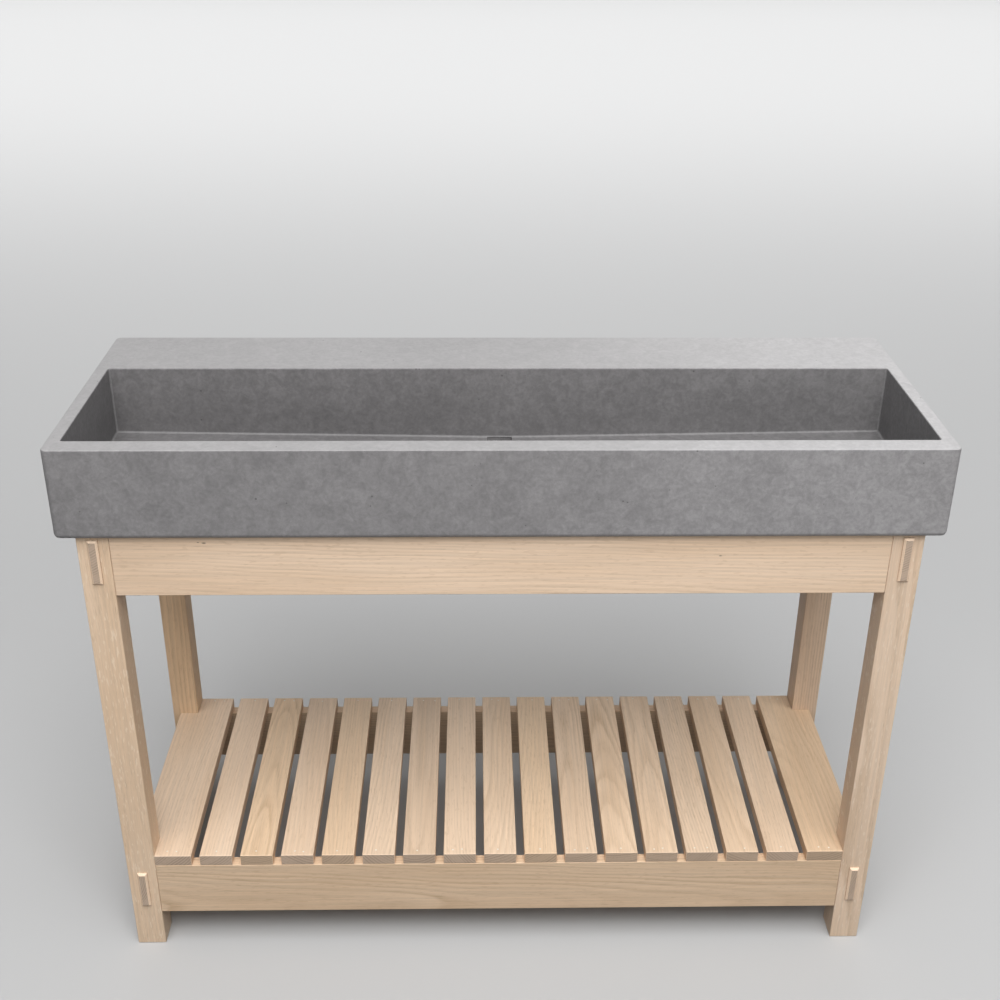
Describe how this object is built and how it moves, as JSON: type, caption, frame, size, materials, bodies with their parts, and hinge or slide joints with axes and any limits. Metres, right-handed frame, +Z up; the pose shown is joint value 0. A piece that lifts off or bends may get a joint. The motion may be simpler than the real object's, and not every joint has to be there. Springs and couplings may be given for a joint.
{
  "type": "bathroom vanity",
  "caption": "Bathroom vanity: a long shallow concrete trough sink on an open oak stand with through-tenoned square legs, long aprons and a slatted lower shelf.",
  "frame": {"origin": "on the floor, under the middle of the whole piece", "axes": "+X along the length, to the right seen from the front; +Y from the front to the wall; +Z up"},
  "size_m": [1.2192, 0.4318, 0.883],
  "materials": {
    "leg_oak": "raw white oak, sanded, straight grain along the leg",
    "rail_oak": "raw white oak, sanded, grain along the board, some cathedral figure",
    "slat_oak": "raw white oak, sanded, grain along the slat, darker end grain",
    "concrete": "cast and sealed concrete, matt, cloudy, with fine pinholes",
    "drain_steel": "brushed steel",
    "gasket_rubber": "black rubber",
    "tailpiece_chrome": "polished chrome plate"
  },
  "bodies": {
    "root": {"leg_front_left": "leg_oak", "leg_front_right": "leg_oak", "leg_rear_left": "leg_oak", "leg_rear_right": "leg_oak", "front_apron": "rail_oak", "rear_apron": "rail_oak", "front_lower_rail": "rail_oak", "rear_lower_rail": "rail_oak", "upper_side_rail_left": "rail_oak", "upper_side_rail_right": "rail_oak", "lower_side_rail_left": "rail_oak", "lower_side_rail_right": "rail_oak", "shelf_slat_01": "slat_oak", "shelf_slat_02": "slat_oak", "shelf_slat_03": "slat_oak", "shelf_slat_04": "slat_oak", "shelf_slat_05": "slat_oak", "shelf_slat_06": "slat_oak", "shelf_slat_07": "slat_oak", "shelf_slat_08": "slat_oak", "shelf_slat_09": "slat_oak", "shelf_slat_10": "slat_oak", "shelf_slat_11": "slat_oak", "shelf_slat_12": "slat_oak", "shelf_slat_13": "slat_oak", "shelf_slat_14": "slat_oak", "shelf_slat_15": "slat_oak", "end_slat_left": "slat_oak", "end_slat_right": "slat_oak", "concrete_sink": "concrete", "drain_body": "drain_steel", "drain_washer": "drain_steel", "drain_locknut": "drain_steel", "drain_gasket": "gasket_rubber", "drain_tailpiece": "tailpiece_chrome"}
  },
  "joints": []
}
